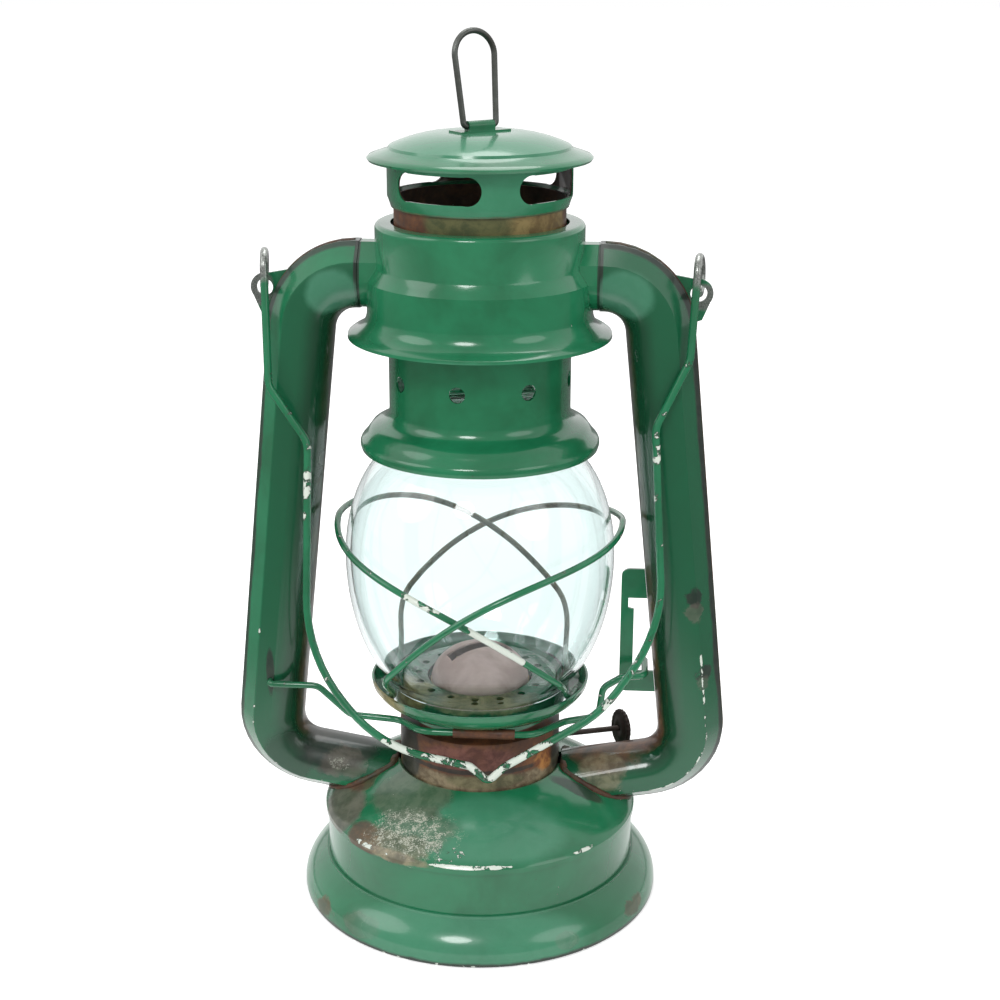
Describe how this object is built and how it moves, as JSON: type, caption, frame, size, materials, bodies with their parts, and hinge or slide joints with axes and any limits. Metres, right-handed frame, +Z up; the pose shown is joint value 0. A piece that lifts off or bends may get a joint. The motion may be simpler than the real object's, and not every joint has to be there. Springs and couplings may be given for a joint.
{
  "type": "tubular kerosene lantern",
  "caption": "Small tubular kerosene lantern: lifting glass globe on a lever, sprung hood with lift ring, wick raised by a thumb wheel, screwed filler cap and swinging wire bail.",
  "frame": {"origin": "centre of the foot's underside", "axes": "+Z up the lamp axis, -Y toward the lever and the hanging bail, +X toward the thumb wheel"},
  "size_m": [0.1552, 0.115, 0.2708],
  "materials": {
    "green_enamel": "glossy enamel with chips and rust at the seams",
    "rusted_steel": "enamel worn to brown rust",
    "tinned_steel": "dull tin plate",
    "brass": "tarnished",
    "dark_steel": "dark bare steel",
    "clear_glass": "clear with a faint mint tint",
    "wick_cotton": "woven cotton tape",
    "gasket_rubber": "matt"
  },
  "bodies": {
    "frame": {"foot_skirt": "green_enamel", "fount_wall": "green_enamel", "fount_bottom": "tinned_steel", "fount_dome": "green_enamel", "tank_top": "tinned_steel", "burner_collar": "rusted_steel", "filler_neck": "tinned_steel", "burner_base": "brass", "wick_tube": "brass", "burner_cone": "brass", "lever_bracket": "green_enamel", "right_tube": "green_enamel", "left_tube": "green_enamel", "right_ear": "green_enamel", "left_ear": "green_enamel", "air_chamber": "green_enamel", "hood_spring": "dark_steel"},
    "globe_carriage": {"globe_plate": "green_enamel", "globe_glass": "clear_glass", "right_guard": "green_enamel", "left_guard": "green_enamel"},
    "hood": {"globe_bell": "green_enamel", "chimney_tube": "rusted_steel", "hood_wall": "green_enamel", "hood_cap": "green_enamel", "ring_lug": "green_enamel"},
    "lift_ring": {"lift_ring": "dark_steel"},
    "lift_lever": {"lift_lever": "green_enamel", "lever_sleeve": "rusted_steel"},
    "wick_spindle": {"wick_spindle": "dark_steel", "thumb_wheel": "dark_steel"},
    "wick": {"wick": "wick_cotton"},
    "filler_gasket": {"filler_gasket": "gasket_rubber"},
    "filler_cap": {"filler_cap": "green_enamel"},
    "bail": {"bail": "green_enamel"}
  },
  "joints": [
    {"name": "globe_lift", "type": "slide", "parent": "frame", "child": "globe_carriage", "axis": [0, 0, 1], "range_m": [0, 0.014], "deforming": ["hood_spring"]},
    {"name": "hood_lift", "type": "slide", "parent": "globe_carriage", "child": "hood", "axis": [0, 0, 1], "range_m": [0, 0.013], "stiffness_N_per_m": 150, "springref_m": -0.02, "deforming": ["hood_spring"]},
    {"name": "ring_swing", "type": "hinge", "parent": "hood", "child": "lift_ring", "pos_m": [0, 0, 0.24496], "axis": [0.788, 0.6157, 0], "range_deg": [-82, 98]},
    {"name": "lever_turn", "type": "hinge", "parent": "frame", "child": "lift_lever", "pos_m": [-0.06594, -0.0123, 0.0715], "axis": [0, -1, 0], "range_deg": [0, 10.2]},
    {"name": "wick_turn", "type": "hinge", "parent": "frame", "child": "wick_spindle", "pos_m": [0.00193, -0.00396, 0.0498], "axis": [0.8966, 0.4373, -0.0698], "range_deg": [0, 143]},
    {"name": "wick_rise", "type": "slide", "parent": "frame", "child": "wick", "axis": [0, 0, 1], "range_m": [0, 0.008]},
    {"name": "gasket_rise", "type": "slide", "parent": "frame", "child": "filler_gasket", "axis": [0, 0, 1], "range_m": [0, 0.0044]},
    {"name": "cap_turn", "type": "hinge", "parent": "filler_gasket", "child": "filler_cap", "pos_m": [0, 0.0384, 0.0492], "axis": [0, 0, 1], "range_deg": [0, 720]},
    {"name": "bail_swing", "type": "hinge", "parent": "frame", "child": "bail", "pos_m": [0, 0, 0.20196], "axis": [-1, 0, 0], "range_deg": [0, 260]}
  ],
  "couplings": [
    {"joint": "lever_turn", "follows": "globe_lift", "rad_per_m": 12.53},
    {"joint": "wick_rise", "follows": "wick_turn", "m_per_rad": 0.0032},
    {"joint": "gasket_rise", "follows": "cap_turn", "m_per_rad": 0.00035}
  ]
}
